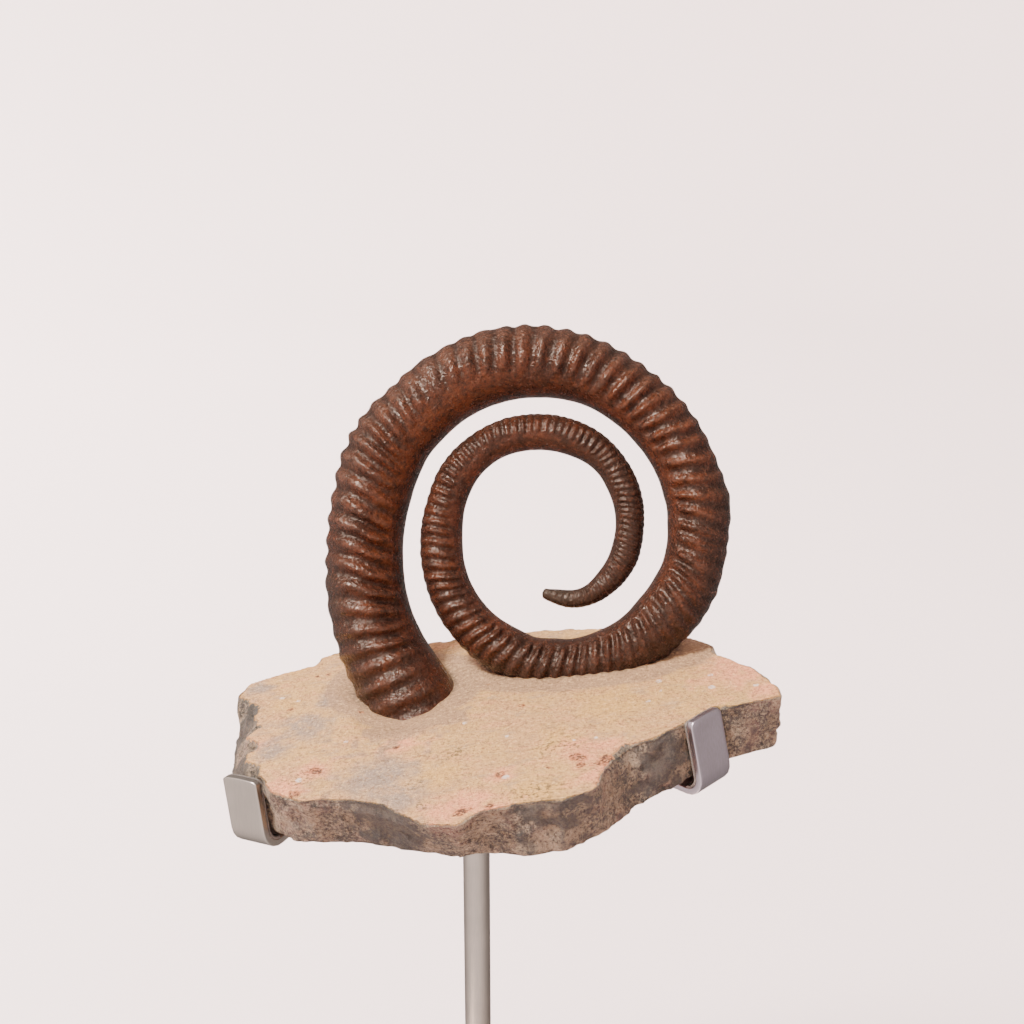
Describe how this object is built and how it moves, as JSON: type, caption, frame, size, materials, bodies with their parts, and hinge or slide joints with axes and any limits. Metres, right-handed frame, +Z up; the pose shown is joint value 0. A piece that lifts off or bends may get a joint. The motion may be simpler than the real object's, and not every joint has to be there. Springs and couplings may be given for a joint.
{
  "type": "fossil ammonite",
  "caption": "Open-coiled ribbed ammonite fossil standing in a rough limestone slab that bent steel clamps hold on a tilted bar, an upright rod and a square foot.",
  "frame": {"origin": "middle of the base plate's underside, on the rod's axis", "axes": "+Z up, +Y away from the slab's front edge that carries the two visible clamps, +X toward the slab's higher end"},
  "size_m": [0.2407, 0.1982, 0.3948],
  "materials": {
    "fossil_shell": "varnished, chestnut to rust brown with darker grooves",
    "matrix_stone": "matt, cream and salmon top with rough grey-brown broken sides",
    "stand_steel": "satin",
    "liner_felt": "matt dark felt"
  },
  "bodies": {
    "root": {"ammonite": "fossil_shell", "matrix_slab": "matrix_stone", "clamp_front_left": "stand_steel", "clamp_front_right": "stand_steel", "clamp_back": "stand_steel", "cross_bar": "stand_steel", "rod": "stand_steel", "base_plate": "stand_steel", "liner_front_left": "liner_felt", "liner_front_right": "liner_felt", "liner_back": "liner_felt"}
  },
  "joints": []
}
